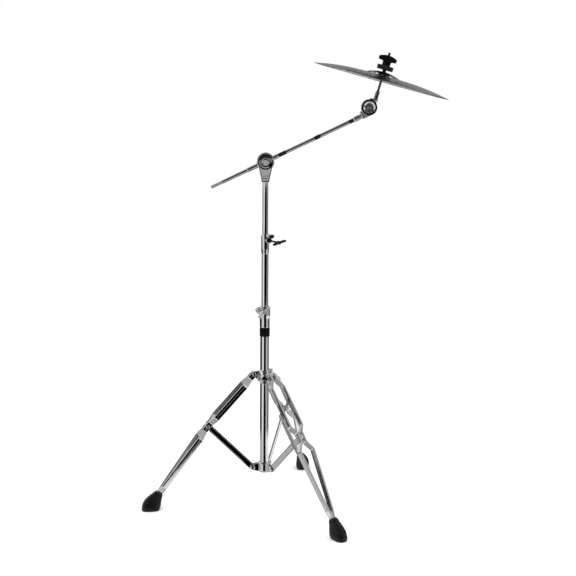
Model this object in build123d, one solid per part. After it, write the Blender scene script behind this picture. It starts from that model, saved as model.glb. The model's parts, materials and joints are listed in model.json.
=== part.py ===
"""Crash cymbal on a double-braced, three-tier boom stand.

Row frame: origin on the floor under the tube axis, +Z up, +X towards the cymbal.
All lengths are millimetres and all angles are degrees.
"""
from build123d import *
import os
from math import atan2, cos, degrees, hypot, radians, sin, sqrt

# ---------------------------------------------------------------- driving dimensions
RUN = 0.05  # radial clearance of a turning or sliding fit
GAP = 0.3  # clearance between bodies that pass each other

# telescoping tubes: outside radius, wall, lowest and highest point
BASE_R, BASE_WALL, BASE_Z = 14.3, 1.6, (114.0, 658.0)
MIDDLE_R, MIDDLE_WALL, MIDDLE_Z = 11.1, 1.0, (400.0, 894.5)
UPPER_R, UPPER_WALL, UPPER_Z = 9.3, 1.2, (640.0, 1083.0)
BUSH_LENGTH = 46.0
BUSH_FLANGE = 2.5

# tripod, in the plane of one leg: distance from the tube axis and height
LEG_AZIMUTHS = {"left": 189.0, "right": 308.0, "back": 68.0}
LEG_TOP = (35.0, 445.0)
LEG_KNEE = (185.5, 277.0)
LOWER_LEG_SLOPE = 54.3
LOWER_LEG = 269.0  # knee to the top of the boot
RAIL_IN_BOOT = 16.0
BRACE_FOOT = (39.0, 129.5)
RAIL_DEPTH, RAIL_WIDTH = 19.0, 7.0
RAIL_BEND_R = 14.0
NECK_HALF, KNEE_HALF = 8.3, 9.0  # half the rail spacing at the collar and at the knee
UPPER_HALF, LOWER_HALF = 23.5, 27.0
SHIN_HALF, ANKLE_HALF = 7.8, 3.8  # above the pinch over the boot, and inside the boot
PINCH = (24.0, 6.0)  # where the rails close in, above the top of the boot
BRACE_WIDTH, BRACE_THICK = 19.0, 6.0
PIN_R = 4.0
FOOT_WIDTH, FOOT_HEEL_R, FOOT_TOE_R = 41.0, 343.0, 404.0
BOOT_TOP = (26.0, 24.0, 7.0)  # length, width and corner radius of the boot's collar
BOOT_MIDDLE = (50.0, 36.0, 16.0)  # the same, halfway down
BOOT_MIDDLE_AT = (18.5, -23.5)  # centre of the middle, from the centre of the collar
SOLE_LIP, SOLE_CORNER = 14.0, 18.0  # height of the widest part and its corner radius

# hubs
HUB_R = 20.0
HUB_Z = (113.0, 147.0)
COLLAR_Z = (414.0, 457.0)
KEY_BOLT_Z = 421.0

# clamps on the tubes
CLAMP_Z, CLAMP_R = (598.0, 661.0), 16.6
CLAMP_LUG_AZIMUTH, CLAMP_LUG_R, CLAMP_BOLT_Z = 205.0, 22.0, 654.0
BAND_Z, BAND_R = (569.0, 598.0), 16.3
MID_CLAMP_Z, MID_CLAMP_R = (836.0, 897.5), 12.9
MID_BOLT_AZIMUTH, MID_BOLT_Z = 305.0, 881.0

# boom tilter
PIVOT_Z = 1127.0
BOOM_SLOPE = 25.6
EAR_R, EAR_INNER, EAR_OUTER = 27.8, 9.6, 17.0
DRUM_R, DRUM_HALF, TRUNNION_R = 24.0, 9.2, 6.0
YOKE_BOTTOM, YOKE_CROTCH = 1064.0, 1084.0
YOKE_PIN_R, YOKE_PIN_Z = 2.0, 1076.0

# boom arm, measured along its axis from the pivot
BOOM_R, BOOM_WALL = 6.35, 1.2
BOOM_REAR, REAR_END, REAR_R = -188.0, 38.0, 5.0
REAR_NECK_R, REAR_PLUG = 4.2, 24.0
SLEEVE_R, SLEEVE_SPAN = 7.5, (-63.0, 44.0)
GRIP_BANDS = ((45.0, 71.0), (169.0, 188.0), (287.0, 301.0))
GRIP_DEPTH = 0.7
SOCKET_R, SOCKET_SPAN = 8.3, (303.0, 329.0)

# cymbal tilter: centre along and above the boom axis, discs and rod
TILTER_ALONG, TILTER_ABOVE = 361.5, 15.5
TILTER_R, TILTER_HALF_DEPTH = 24.3, 17.0
FACE_HALF = 12.4
ROD_LEAN = 16.07
ROD_OFFSET = 12.2
ROD_FOOT, ROD_FACE, ROD_SHOULDER, ROD_LENGTH = 25.5, 28.5, 54.6, 176.4
ROD_R, ROD_THICK_R = 4.0, 6.25

# cymbal and its seat, measured along the rod from the tilter centre
CYMBAL_LEAN = 14.85
CYMBAL_R, BELL_R, HOLE_R = 215.9, 56.0, 6.8
BELL_RISE, BOW_RISE, CYMBAL_T = 12.5, 16.5, 1.1
SEAT_ALONG = 115.5
CUP_R, CUP_T = 15.0, 2.0
SLEEVE_NYLON_R = 5.6
FELT_R, FELT_T, FELT_TOP, FELT_FOOT_GAP = 12.0, 8.0, -1.5, 1.7
DISC_R, DISC_T, DISC_TOP = 25.5, 13.4, 135.2
NUT_NECK_R, NUT_SPAN, NUT_HEIGHT = 13.2, 60.0, 32.0


# ---------------------------------------------------------------- helpers
def tube(outer, inner, z0, z1):
    """A round tube on the Z axis; inner 0 makes a solid bar."""
    body = Pos(0, 0, z0) * Cylinder(outer, z1 - z0, align=(Align.CENTER, Align.CENTER, Align.MIN))
    if inner <= 0:
        return body
    return body - Pos(0, 0, z0) * Cylinder(inner, z1 - z0, align=(Align.CENTER, Align.CENTER, Align.MIN))


def disc_y(radius, y0, y1, x=0.0, z=0.0):
    """A round disc with its axis along Y, from y0 to y1."""
    length = abs(y1 - y0)
    return Pos(x, (y0 + y1) / 2, z) * Rot(90, 0, 0) * Cylinder(radius, length)


def block(x0, x1, y0, y1, z0, z1):
    """A rectangular block between two corners."""
    return Pos((x0 + x1) / 2, (y0 + y1) / 2, (z0 + z1) / 2) * Box(x1 - x0, y1 - y0, z1 - z0)


def side_plate(points, y0, y1):
    """A plate with the given outline in the XZ plane, from y0 to y1."""
    outline = make_face(Polyline(*[(x, 0, z) for x, z in points], close=True))
    return Pos(0, y0, 0) * extrude(outline, amount=y1 - y0, dir=(0, 1, 0))


def revolved(points):
    """A turned part from its outline of (radius, height) points."""
    outline = make_face(Polyline(*[(r, 0, z) for r, z in points], close=True))
    return revolve(outline, Axis.Z, 360)


def wing_screw(shank_r, shank, hub_r, hub, span, blade, thick):
    """A wing screw along +Z: shank first, then the hub with two swept wings."""
    body = tube(shank_r, 0, 0, shank) if shank > 0 else None
    head = tube(hub_r, 0, shank, shank + hub)
    half = span / 2
    for side in (1, -1):
        wing = [(side * hub_r * 0.5, shank + 1), (side * half * 0.75, shank + hub * 0.45),
                (side * half, shank + hub * 0.45 + blade * 0.5),
                (side * half * 0.85, shank + hub * 0.45 + blade),
                (side * hub_r * 0.5, shank + hub - 1)]
        head += side_plate(wing, -thick / 2, thick / 2)
    return head + body if body else head


def place(shape, origin, direction, roll=0.0):
    """Puts a part made along +Z at a point, pointing along a direction."""
    return Plane(origin=origin, z_dir=direction) * Rot(0, 0, roll) * shape


def polar(radius, azimuth, z):
    return (radius * cos(radians(azimuth)), radius * sin(radians(azimuth)), z)


def write(**parts):
    for name, shape in parts.items():
        shape.label = name
        export_step(shape, f"parts/{name}.step")


# ---------------------------------------------------------------- tripod
def leg_plane(origin, slope):
    """A plane whose x runs down the leg and whose y is across it."""
    x_dir = (cos(radians(slope)), 0, -sin(radians(slope)))
    return Plane(origin=(origin[0], 0, origin[1]), x_dir=x_dir, z_dir=(-x_dir[2], 0, x_dir[0]))


def rail_run(points, plane):
    """One bent run of a leg rail, from its centre line in the leg's own plane."""
    path = FilletPolyline(*points, radius=RAIL_BEND_R)
    flat = trace(path, RAIL_WIDTH)
    return plane * Pos(0, 0, -RAIL_DEPTH / 2) * extrude(flat, amount=RAIL_DEPTH)


def leg_rail(side):
    """A pressed rail: narrow at the collar, wide, pinched at the knee, then narrowing to the foot."""
    dr, dz = LEG_KNEE[0] - LEG_TOP[0], LEG_TOP[1] - LEG_KNEE[1]
    length, slope = hypot(dr, dz), degrees(atan2(dz, dr))
    upper = [(-7, side * NECK_HALF), (20, side * NECK_HALF), (47, side * UPPER_HALF),
             (188, side * UPPER_HALF), (209, side * KNEE_HALF), (length, side * KNEE_HALF)]
    lower = [(0, side * KNEE_HALF), (19, side * KNEE_HALF), (45, side * LOWER_HALF),
             (LOWER_LEG - PINCH[0], side * SHIN_HALF), (LOWER_LEG - PINCH[1], side * ANKLE_HALF),
             (LOWER_LEG + RAIL_IN_BOOT, side * ANKLE_HALF)]
    rail = rail_run(upper, leg_plane(LEG_TOP, slope))
    rail += rail_run(lower, leg_plane(LEG_KNEE, LOWER_LEG_SLOPE))
    y0 = side * (KNEE_HALF - RAIL_WIDTH / 2)
    rail += disc_y(RAIL_DEPTH / 2, y0, y0 + side * RAIL_WIDTH, *LEG_KNEE)
    return rail - disc_y(PIN_R + RUN, side * 2, side * 20, *LEG_TOP)


def knee_bolt():
    """The two heads of the knee rivet, outside the rails."""
    face = KNEE_HALF + RAIL_WIDTH / 2
    return (disc_y(6, face, face + 3.2, *LEG_KNEE) + disc_y(6, -face - 3.2, -face, *LEG_KNEE))


def boot_section(centre, tilt, length, width, corner):
    """One rounded section of the boot; its plane leans back by tilt from the floor's."""
    lean = radians(tilt)
    plane = Plane(origin=(centre[0], 0, centre[1]), x_dir=(cos(lean), 0, sin(lean)),
                  z_dir=(-sin(lean), 0, cos(lean)))
    return plane * RectangleRounded(length, width, corner)


def leg_foot():
    """A rubber boot, lofted from a collar round the two rails to a wide flat sole."""
    down = (cos(radians(LOWER_LEG_SLOPE)), -sin(radians(LOWER_LEG_SLOPE)))
    top = (LEG_KNEE[0] + LOWER_LEG * down[0], LEG_KNEE[1] + LOWER_LEG * down[1])
    sole_length = FOOT_TOE_R - FOOT_HEEL_R
    sole_x = (FOOT_HEEL_R + FOOT_TOE_R) / 2
    lean = 90 - LOWER_LEG_SLOPE
    middle = (top[0] + BOOT_MIDDLE_AT[0], top[1] + BOOT_MIDDLE_AT[1])
    sections = [boot_section(top, lean, *BOOT_TOP),
                boot_section(middle, lean * 0.5, *BOOT_MIDDLE),
                boot_section((sole_x - 2, SOLE_LIP), lean * 0.1, sole_length - 2, FOOT_WIDTH, SOLE_CORNER),
                boot_section((sole_x, 0), 0, sole_length - 3, FOOT_WIDTH - 3, SOLE_CORNER - 1)]
    boot = loft(sections)
    pocket = Box(RAIL_IN_BOOT + 1, 2 * ANKLE_HALF + RAIL_WIDTH + 4, RAIL_DEPTH + 0.4)
    socket = leg_plane(top, LOWER_LEG_SLOPE) * Pos(RAIL_IN_BOOT / 2, 0, 0) * pocket
    return boot - socket


def brace():
    """A flat strut with a round boss at each end, from the lower hub to the knee."""
    dr, dz = LEG_KNEE[0] - BRACE_FOOT[0], LEG_KNEE[1] - BRACE_FOOT[1]
    length, lean = hypot(dr, dz), degrees(atan2(dz, dr))
    bar = Pos(length / 2, 0, 0) * Box(length, BRACE_THICK, BRACE_WIDTH)
    bar += disc_y(BRACE_WIDTH / 2, -BRACE_THICK / 2, BRACE_THICK / 2)
    boss = KNEE_HALF - RAIL_WIDTH / 2 - GAP
    bar += disc_y(BRACE_WIDTH / 2, -boss, boss, length, 0)
    bar -= disc_y(PIN_R + RUN, -BRACE_THICK, BRACE_THICK)
    return Pos(BRACE_FOOT[0], 0, BRACE_FOOT[1]) * Rot(0, -lean, 0) * bar


def pivot_pin(point, half):
    """A riveted pin across a pivot, with a head at each end."""
    pin = disc_y(PIN_R, -half, half, *point)
    for side in (1, -1):
        pin += disc_y(PIN_R + 2.4, side * half, side * (half + 2.4), *point)
    return pin


def around(shape):
    """The same part at each of the three legs, as one group of solids."""
    return Compound(children=[Rot(0, 0, az) * shape for az in LEG_AZIMUTHS.values()])


def lower_hub():
    """The cast spider that holds the braces at the bottom of the base tube."""
    z0, z1 = HUB_Z
    hub = tube(HUB_R, 0, z0, z1)
    slot = BRACE_THICK / 2 + GAP
    for azimuth in LEG_AZIMUTHS.values():
        r, z = BRACE_FOOT
        arm = side_plate([(0, z0), (r - 2, z - 9.4), (r, z + 9.4), (HUB_R - 2, z1), (0, z1)], -8, 8)
        arm += disc_y(9.4, -8, 8, r, z)
        arm -= block(HUB_R + 2, r + 20, -slot, slot, z0 - 5, z1 + 5)
        arm -= disc_y(PIN_R, -9, 9, r, z)
        hub += Rot(0, 0, azimuth) * arm
    return hub - tube(BASE_R, 0, z0 + 1, z1 + 1)


def leg_collar():
    """The sliding casting that carries the three legs, with a boss for its key bolt."""
    z0, z1 = COLLAR_Z
    collar = revolved([(0, z0), (HUB_R - 3, z0), (HUB_R, z0 + 8), (HUB_R, z1 - 6), (BASE_R + 2.5, z1),
                       (0, z1)])
    tongue = NECK_HALF - RAIL_WIDTH / 2 - GAP / 2
    r, z = LEG_TOP
    for azimuth in LEG_AZIMUTHS.values():
        arm = side_plate([(0, z0 + 12), (HUB_R, z0 + 12), (r, z - 8), (r, z + 8), (HUB_R - 3, z1 - 2),
                          (0, z1 - 2)], -tongue, tongue)
        arm += disc_y(8, -tongue, tongue, r, z)
        arm -= disc_y(PIN_R, -20, 20, r, z)
        collar += Rot(0, 0, azimuth) * arm
    collar += disc_y(7, -28, -10, 0, KEY_BOLT_Z)
    collar -= disc_y(3 + RUN, -30, -10, 0, KEY_BOLT_Z)
    return collar - tube(BASE_R + RUN, 0, z0 - 1, z1 + 1)


def key_bolt():
    """A square-headed bolt that locks the collar on the tube."""
    bolt = disc_y(3, -33, -BASE_R - GAP, 0, KEY_BOLT_Z)
    bolt += disc_y(5, -31, -28.3, 0, KEY_BOLT_Z)
    return bolt + Pos(0, -34.5, KEY_BOLT_Z) * Box(6, 9, 6)


# ---------------------------------------------------------------- column
def bushing(outer, inner, rim, top):
    """A flanged nylon bushing that lines the top of a tube."""
    sleeve = tube(outer - RUN, inner + RUN, top - BUSH_LENGTH, top + BUSH_FLANGE)
    return sleeve + tube(rim, inner + RUN, top + RUN, top + BUSH_FLANGE)


def base_clamp():
    """The cast clamp at the top of the base tube: a sleeve with a split lug."""
    z0, z1 = CLAMP_Z
    top = z1 + BUSH_FLANGE + 2.5
    body = revolved([(0, z0), (CLAMP_R - 0.4, z0), (CLAMP_R, z0 + 30), (CLAMP_R + 1, z0 + 42),
                     (CLAMP_R + 1, top - 3), (CLAMP_R - 1.5, top), (0, top)])
    lug = block(0, 30, -9, 9, CLAMP_BOLT_Z - 12, CLAMP_BOLT_Z + 11)
    lug = fillet(lug.edges().filter_by(Axis.Y).group_by(Axis.X)[-1], 8)
    lug -= block(10, 40, -1.2, 1.2, CLAMP_BOLT_Z - 20, CLAMP_BOLT_Z + 20)
    lug -= disc_y(3 + RUN, -12, 12, CLAMP_LUG_R, CLAMP_BOLT_Z)
    body += Rot(0, 0, CLAMP_LUG_AZIMUTH) * lug
    body -= tube(BASE_R + RUN, 0, z0 - 1, BASE_Z[1] + BUSH_FLANGE + 0.4)
    return body - tube(MIDDLE_R + GAP, 0, z0, top + 1)


def middle_clamp():
    """The sleeve clamp at the top of the middle tube, with an ear and a screw boss."""
    z0, z1 = MID_CLAMP_Z
    top = z1 + BUSH_FLANGE
    body = revolved([(0, z0), (MIDDLE_R + 0.6, z0), (MID_CLAMP_R, z0 + 16), (MID_CLAMP_R, top - 1.5),
                     (MID_CLAMP_R - 1.5, top), (0, top)])
    ear = block(0, 30, -5, 5, z1 - 13.5, z1 + 0.5)
    body += Rot(0, 0, 10) * fillet(ear.edges().filter_by(Axis.Y).group_by(Axis.X)[-1], 6)
    boss = tube(6.5, 0, 8, 18) - tube(3 + RUN, 0, 0, 20)
    body += place(boss, (0, 0, MID_BOLT_Z), polar(1, MID_BOLT_AZIMUTH, 0))
    body -= tube(MIDDLE_R + RUN, 0, z0 - 1, MIDDLE_Z[1] + BUSH_FLANGE + 0.4)
    body -= tube(UPPER_R + GAP, 0, z0, top + 1)
    return body - place(tube(3 + RUN, 0, 9, 30), (0, 0, MID_BOLT_Z), polar(1, MID_BOLT_AZIMUTH, 0))


def boom_yoke():
    """A forked casting: a socket on the upper tube and two round ears that hold the drum."""
    outline = [(-12, YOKE_BOTTOM), (12, YOKE_BOTTOM), (17, PIVOT_Z - 24), (-17, PIVOT_Z - 24)]
    depth = EAR_OUTER
    body = side_plate(outline, -depth, depth)
    body = fillet(body.edges().filter_by(lambda e: abs(e.tangent_at(0.5).Z) > 0.9), 5)
    body += disc_y(EAR_R, -depth, depth, 0, PIVOT_Z)
    body -= block(-60, 60, -EAR_INNER, EAR_INNER, YOKE_CROTCH, PIVOT_Z + 60)
    body -= disc_y(TRUNNION_R + RUN, -30, 30, 0, PIVOT_Z)
    body -= yoke_pin()
    return body - tube(UPPER_R, 0, YOKE_BOTTOM - 1, UPPER_Z[1])


def yoke_pin():
    """The pressed pin that keeps the yoke on the upper tube."""
    return disc_y(YOKE_PIN_R, -EAR_OUTER, -UPPER_R - RUN, 0, YOKE_PIN_Z)


# ---------------------------------------------------------------- boom
def along_boom(shape):
    """Puts a part made along +Z from the pivot on the boom's axis, with its x axis downwards."""
    x_dir = (sin(radians(BOOM_SLOPE)), 0, -cos(radians(BOOM_SLOPE)))
    z_dir = (cos(radians(BOOM_SLOPE)), 0, sin(radians(BOOM_SLOPE)))
    return Plane(origin=(0, 0, PIVOT_Z), x_dir=x_dir, z_dir=z_dir) * shape


def tilt_drum():
    """The drum between the ears: two stub axles and a cross bore for the boom sleeve."""
    drum = disc_y(DRUM_R, -DRUM_HALF, DRUM_HALF, 0, PIVOT_Z)
    drum += disc_y(TRUNNION_R, -36, 16.5, 0, PIVOT_Z)
    return drum - along_boom(tube(SLEEVE_R + RUN, 0, -40, 40))


def front_cap():
    """The dished cover on the front ear."""
    cap = disc_y(19.2, -19.2, -EAR_OUTER, 0, PIVOT_Z)
    return cap - disc_y(TRUNNION_R + GAP, -25, -10, 0, PIVOT_Z)


def front_ring():
    ring = disc_y(23.6, -20.8, -EAR_OUTER, 0, PIVOT_Z)
    return ring - disc_y(19.3, -25, -10, 0, PIVOT_Z)


def tilt_wing_nut():
    nut = wing_screw(0, 0, 9.5, 15, 54, 13, 6)
    nut = place(nut, (0, -21.2, PIVOT_Z), (0, -1, 0), roll=-68)
    return nut - disc_y(TRUNNION_R + RUN, -60, -15, 0, PIVOT_Z)


def boom_tube():
    """The boom arm, with grooves where its grip bands lie and a bore for the rear end piece."""
    arm = tube(BOOM_R, BOOM_R - BOOM_WALL, BOOM_REAR + REAR_END, SOCKET_SPAN[1] - 1)
    for low, high in GRIP_BANDS:
        arm -= tube(BOOM_R + 1, BOOM_R - GRIP_DEPTH, low, high)
    return along_boom(arm)


def grip_bands():
    bands = [along_boom(tube(BOOM_R, BOOM_R - GRIP_DEPTH, low, high)) for low, high in GRIP_BANDS]
    return Compound(children=bands)


def boom_rear_end():
    """The slimmer knurled end piece, plugged into the rear of the boom."""
    start = BOOM_REAR + REAR_END
    piece = tube(REAR_R, 0, BOOM_REAR, start) + tube(REAR_NECK_R, 0, start, start + REAR_PLUG)
    return along_boom(piece + tube(BOOM_R - BOOM_WALL - RUN, 0, start + REAR_PLUG / 2, start + REAR_PLUG))


# ---------------------------------------------------------------- cymbal tilter
def tilter_point(right, up):
    """A point given from the tilter centre, square to and along the cymbal rod."""
    lean = radians(ROD_LEAN)
    slope = radians(BOOM_SLOPE)
    x = TILTER_ALONG * cos(slope) - TILTER_ABOVE * sin(slope)
    z = PIVOT_Z + TILTER_ALONG * sin(slope) + TILTER_ABOVE * cos(slope)
    return (x + right * cos(lean) + up * sin(lean), 0, z - right * sin(lean) + up * cos(lean))


def on_rod(shape):
    """Puts a part made along +Z on the cymbal rod, with z = 0 level with the tilter centre."""
    lean = radians(ROD_LEAN)
    x_dir = (cos(lean), 0, -sin(lean))
    z_dir = (sin(lean), 0, cos(lean))
    return Plane(origin=tilter_point(ROD_OFFSET, 0), x_dir=x_dir, z_dir=z_dir) * shape


def on_cymbal_axis(shape):
    """Puts a turned part on the axis of the hanging cymbal, with z = 0 at its hole."""
    lean = radians(CYMBAL_LEAN)
    seat = tilter_point(ROD_OFFSET, SEAT_ALONG)
    x_dir = (cos(lean), 0, -sin(lean))
    z_dir = (sin(lean), 0, cos(lean))
    return Plane(origin=seat, x_dir=x_dir, z_dir=z_dir) * shape


def tilter_half(arm, side):
    """One toothed half: a disc on its own side of the joint, and an arm that crosses the middle."""
    centre = tilter_point(0, 0)
    y0, y1 = (-TILTER_HALF_DEPTH, -0.3) if side < 0 else (0.3, TILTER_HALF_DEPTH)
    keep_out = disc_y(TILTER_R + 1.2, -side * 30, 0.3 * side, centre[0], centre[2])
    half = disc_y(TILTER_R, y0, y1, centre[0], centre[2]) + (arm - keep_out)
    return half - disc_y(PIN_R + RUN, -30, 30, centre[0], centre[2])


def lower_casting():
    """The half that is fixed to the boom, with a socket for the boom's end."""
    across = (-FACE_HALF - 2.7, FACE_HALF - 2.7)
    arm = block(across[0], across[1], -FACE_HALF, FACE_HALF, SOCKET_SPAN[1], TILTER_ALONG)
    half = tilter_half(along_boom(arm), -1)
    return half - along_boom(tube(BOOM_R, 0, 0, SOCKET_SPAN[1] + 6))


def upper_casting():
    """The half that carries the cymbal rod."""
    arm = block(-17.7, 6.8, -FACE_HALF, FACE_HALF, 0, ROD_FACE)
    half = tilter_half(on_rod(arm), 1)
    return half - on_rod(tube(ROD_THICK_R, 0, ROD_FOOT, ROD_SHOULDER))


def tilter_ring():
    x, _, z = tilter_point(0, 0)
    ring = disc_y(TILTER_R, -TILTER_HALF_DEPTH - 2.6, -TILTER_HALF_DEPTH, x, z)
    return ring - disc_y(19.3, -40, 0, x, z)


def tilter_bolt():
    """The hex-headed bolt through both halves; its threaded end stands out at the back."""
    x, _, z = tilter_point(0, 0)
    bolt = disc_y(PIN_R, -TILTER_HALF_DEPTH, TILTER_HALF_DEPTH + 20, x, z)
    return bolt + disc_y(8, -TILTER_HALF_DEPTH - 5, -TILTER_HALF_DEPTH, x, z)


def tilter_wing_nut():
    x, _, z = tilter_point(0, 0)
    nut = wing_screw(0, 0, 8, 13, 44, 11, 5)
    nut = place(nut, (x, TILTER_HALF_DEPTH + GAP, z), (0, 1, 0), roll=35)
    return nut - disc_y(PIN_R + RUN, 0, 60, x, z)


def cymbal_rod():
    rod = tube(ROD_THICK_R, 0, ROD_FOOT, ROD_SHOULDER) + tube(ROD_R, 0, ROD_SHOULDER, ROD_LENGTH)
    return on_rod(rod)


def cup_washer():
    top = SEAT_ALONG + FELT_TOP - FELT_T - FELT_FOOT_GAP
    cup = tube(CUP_R, 0, top - CUP_T, top) + tube(8, 0, top - 12, top - CUP_T)
    return on_rod(cup - tube(ROD_R + RUN, 0, 0, 200))


def cymbal_sleeve():
    """The nylon sleeve that keeps the cymbal's hole off the threaded rod."""
    foot = SEAT_ALONG + FELT_TOP - FELT_T - FELT_FOOT_GAP
    return on_rod(tube(SLEEVE_NYLON_R, ROD_R + RUN, foot, DISC_TOP - DISC_T - 0.4))


def lower_felt():
    """The felt under the bell, loose enough to rock on the sleeve."""
    ring = tube(FELT_R, SLEEVE_NYLON_R + 1.4, FELT_TOP - FELT_T, FELT_TOP)
    return on_cymbal_axis(ring)


def top_felt():
    return on_rod(tube(DISC_R, NUT_NECK_R - 4, DISC_TOP - DISC_T, DISC_TOP))


def top_wing_nut():
    """The moulded wing nut: a tall neck with two broad wings, and a core through the felt."""
    top = DISC_TOP + NUT_HEIGHT
    nut = tube(NUT_NECK_R, 0, DISC_TOP, top - 3)
    nut += tube(NUT_NECK_R - 4.1, 0, DISC_TOP - DISC_T + 1, DISC_TOP + 1)
    half = NUT_SPAN / 2
    blade = [(-half, top - 17), (-half + 2, top - 6), (-12, top - 1), (0, top), (12, top - 1),
             (half - 2, top - 6), (half, top - 9), (half - 4, top - 18), (NUT_NECK_R, top - 20),
             (-NUT_NECK_R, top - 20)]
    nut += side_plate(blade, -6.5, 6.5)
    return on_rod(nut - tube(ROD_R + RUN, 0, 0, 300))


def cymbal():
    """The bronze plate: a shallow bell, a curved bow and a thin edge."""
    junction = -BELL_RISE
    rim = junction - BOW_RISE
    bell_r = (BELL_R**2 + BELL_RISE**2) / (2 * BELL_RISE)
    bow_chord = CYMBAL_R - BELL_R
    sag = 5.0
    top = [Line((HOLE_R, 0), (HOLE_R + 1, 0))]
    bell_mid = (BELL_R * 0.55, sqrt(bell_r**2 - (BELL_R * 0.55) ** 2) - bell_r)
    bow_mid = (BELL_R + bow_chord / 2, junction - BOW_RISE / 2 + sag)
    top += [ThreePointArc((HOLE_R + 1, 0), bell_mid, (BELL_R, junction)),
            ThreePointArc((BELL_R, junction), bow_mid, (CYMBAL_R, rim))]
    under = [Line((CYMBAL_R, rim), (CYMBAL_R, rim - CYMBAL_T * 0.7)),
             ThreePointArc((CYMBAL_R, rim - CYMBAL_T * 0.7), (bow_mid[0], bow_mid[1] - CYMBAL_T),
                           (BELL_R, junction - CYMBAL_T)),
             ThreePointArc((BELL_R, junction - CYMBAL_T), (bell_mid[0], bell_mid[1] - CYMBAL_T),
                           (HOLE_R + 1, -CYMBAL_T)),
             Line((HOLE_R + 1, -CYMBAL_T), (HOLE_R, -CYMBAL_T)), Line((HOLE_R, -CYMBAL_T), (HOLE_R, 0))]
    outline = Plane.XZ * make_face(Wire(top + under))
    return on_cymbal_axis(Pos(0, 0, CYMBAL_T / 2) * revolve(outline, Axis.Z, 360))


# ---------------------------------------------------------------- build
def main():
    os.makedirs("parts", exist_ok=True)

    write(base_tube=tube(BASE_R, BASE_R - BASE_WALL, *BASE_Z),
          base_tube_plug=tube(BASE_R - BASE_WALL, 0, BASE_Z[0], BASE_Z[0] + 12),
          lower_hub=lower_hub(), hub_pins=around(pivot_pin(BRACE_FOOT, 8)),
          base_clamp=base_clamp(), plain_band=tube(BAND_R, BASE_R + RUN, *BAND_Z))

    write(leg_collar=leg_collar(), collar_pins=around(pivot_pin(LEG_TOP, NECK_HALF + RAIL_WIDTH / 2 + GAP)),
          collar_key_bolt=key_bolt())

    for name, azimuth in LEG_AZIMUTHS.items():
        turn = Rot(0, 0, azimuth)
        write(**{f"{name}_leg_rail_a": turn * leg_rail(1), f"{name}_leg_rail_b": turn * leg_rail(-1),
                 f"{name}_knee_rivet": turn * knee_bolt(), f"{name}_foot": turn * leg_foot(),
                 f"{name}_brace": turn * brace()})

    clamp_bolt = wing_screw(3, 44, 6.5, 11, 46, 11, 5)
    bolt_dir = polar(1, CLAMP_LUG_AZIMUTH + 90, 0)
    start = [a - 14 * d for a, d in zip(polar(CLAMP_LUG_R, CLAMP_LUG_AZIMUTH, CLAMP_BOLT_Z), bolt_dir)]
    clamp_nut = place(tube(5.5, 3 + RUN, 0, 5), start, bolt_dir)
    write(base_bushing=bushing(BASE_R - BASE_WALL, MIDDLE_R, BASE_R, BASE_Z[1]),
          base_clamp_wing_bolt=place(clamp_bolt, start, bolt_dir, roll=40),
          base_clamp_nut=clamp_nut)

    mid_dir = polar(1, MID_BOLT_AZIMUTH, 0)
    mid_start = polar(MIDDLE_R + GAP, MID_BOLT_AZIMUTH, MID_BOLT_Z)
    mid_nut_at = polar(18.1, MID_BOLT_AZIMUTH, MID_BOLT_Z)
    write(middle_tube=tube(MIDDLE_R, MIDDLE_R - MIDDLE_WALL, *MIDDLE_Z), middle_clamp=middle_clamp(),
          middle_clamp_nut=place(tube(7.8, 3 + RUN, 0, 8), mid_nut_at, mid_dir),
          middle_clamp_wing_bolt=place(wing_screw(3, 56, 6, 11, 47, 12, 6), mid_start, mid_dir, roll=20),
          upper_bushing=bushing(MIDDLE_R - MIDDLE_WALL, UPPER_R, MIDDLE_R, MIDDLE_Z[1]))

    write(upper_tube=tube(UPPER_R, UPPER_R - UPPER_WALL, *UPPER_Z), boom_yoke=boom_yoke(),
          yoke_pin=yoke_pin(), boom_tilter_cap=front_cap(),
          boom_tilter_ring=front_ring(), tilt_drum=tilt_drum(), boom_tilter_wing_nut=tilt_wing_nut(),
          boom_sleeve=along_boom(tube(SLEEVE_R, BOOM_R + RUN, *SLEEVE_SPAN)))

    write(boom_tube=boom_tube(), boom_grip_bands=grip_bands(), boom_rear_end=boom_rear_end(),
          boom_end_collar=along_boom(tube(SOCKET_R, BOOM_R, *SOCKET_SPAN)),
          tilter_lower_casting=lower_casting(), tilter_ring=tilter_ring(), tilter_bolt=tilter_bolt(),
          tilter_wing_nut=tilter_wing_nut(), tilter_upper_casting=upper_casting())

    write(cymbal_rod=cymbal_rod(), cup_washer=cup_washer(), cymbal_sleeve=cymbal_sleeve(),
          lower_felt=lower_felt(), cymbal=cymbal(), top_felt=top_felt(), top_wing_nut=top_wing_nut())


main()
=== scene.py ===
"""Looks of the crash cymbal and its boom stand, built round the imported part.

Shapes are made in local millimetres. A placement turns them into the frame's metres.
"""

import json
from math import atan2, cos, hypot, pi, radians, sin, tan

import bmesh
import bpy
import numpy as np
from mathutils import Matrix, Vector


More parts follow.
